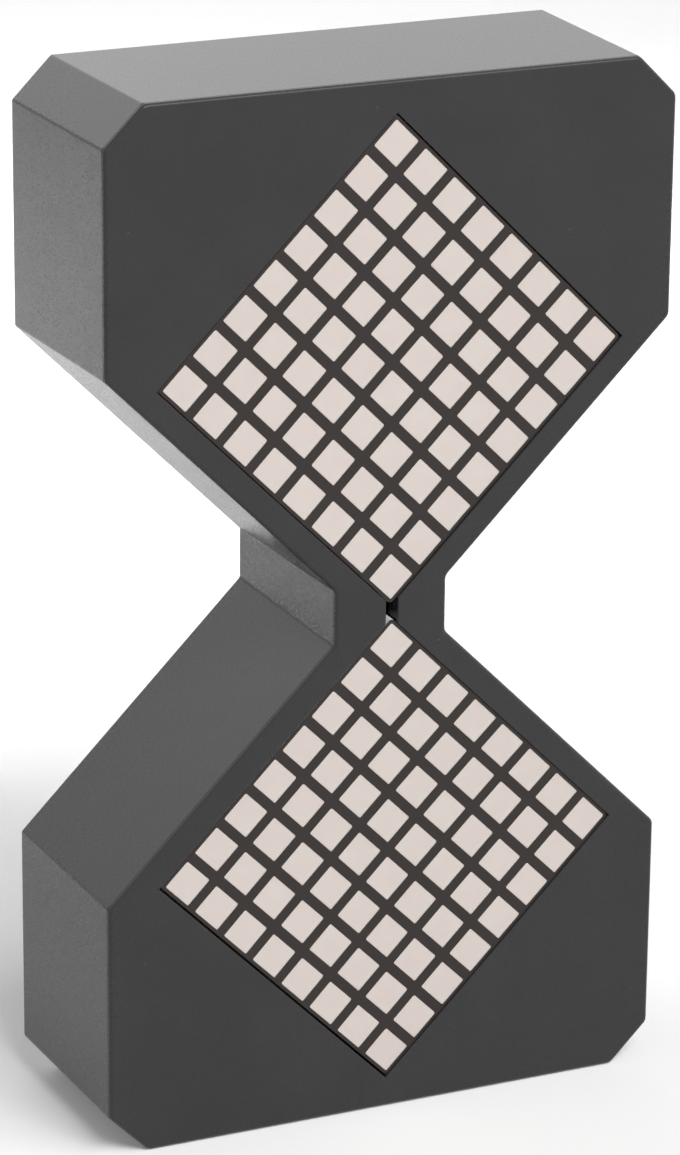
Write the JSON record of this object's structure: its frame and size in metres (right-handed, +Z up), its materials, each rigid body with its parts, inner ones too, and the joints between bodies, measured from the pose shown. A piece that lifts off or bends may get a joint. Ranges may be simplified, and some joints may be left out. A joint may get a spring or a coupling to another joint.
{
  "type": "digital hourglass timer",
  "caption": "Hourglass-shaped desk timer with dot matrix displays set on their corners, one in each bulb, a slotted neck, and a switch, button and charging port on the back.",
  "frame": {"origin": "middle of the foot that it stands on, on the supporting surface", "axes": "+Z up along the hourglass, +X to the right seen from the front, +Y from the display side to the back"},
  "size_m": [0.0556, 0.0204, 0.097],
  "materials": {
    "case_plastic": "charcoal ABS, finely textured in the mould",
    "adhesive_film": "black double-sided film",
    "matrix_plastic": "white moulded shell with a dark grey painted face",
    "window_resin": "warm white diffusing resin",
    "circuit_board": "green solder mask on glass laminate",
    "tinned_pin": "tinned",
    "screw_steel": "zinc plated",
    "chip_resin": "moulded black resin",
    "ceramic": "fired ceramic",
    "connector_plastic": "cream nylon",
    "cable_film": "laminated ribbon",
    "black_plastic": "moulded black plastic",
    "port_steel": "plated sheet steel",
    "battery_foil": "pouch foil",
    "foam": "closed-cell foam",
    "lead_insulation": "soft insulation"
  },
  "bodies": {
    "case": {"front_panel": "case_plastic", "panel_tape": "adhesive_film", "housing": "case_plastic", "upper_matrix_shell": "matrix_plastic", "upper_matrix_windows": "window_resin", "upper_matrix_board": "circuit_board", "upper_matrix_pins": "tinned_pin", "lower_matrix_shell": "matrix_plastic", "lower_matrix_windows": "window_resin", "lower_matrix_board": "circuit_board", "lower_matrix_pins": "tinned_pin", "display_board": "circuit_board", "display_board_screws": "screw_steel", "driver_chips": "chip_resin", "display_capacitors": "ceramic", "display_connector": "connector_plastic", "flat_cable": "cable_film", "control_connector": "connector_plastic", "control_board": "circuit_board", "control_board_screws": "screw_steel", "controller_chip": "chip_resin", "charger_chip": "chip_resin", "motion_sensor": "chip_resin", "control_passives": "ceramic", "buzzer": "black_plastic", "port_shell": "port_steel", "port_tongue": "black_plastic", "switch_body": "port_steel", "button_switch": "black_plastic", "battery": "battery_foil", "battery_pad": "foam", "battery_leads": "lead_insulation", "battery_plug": "connector_plastic", "battery_header": "connector_plastic", "back_cover": "case_plastic", "cover_screws": "screw_steel"},
    "power_knob": {"switch_knob": "black_plastic"},
    "set_button": {"button_plunger": "connector_plastic", "button_cap": "black_plastic"}
  },
  "joints": [
    {"name": "power_slide", "type": "slide", "parent": "case", "child": "power_knob", "axis": [1, 0, 0], "range_m": [0, 0.002]},
    {"name": "button_press", "type": "slide", "parent": "case", "child": "set_button", "axis": [0, -1, 0], "range_m": [0, 0.0003], "stiffness_N_per_m": 3000}
  ]
}
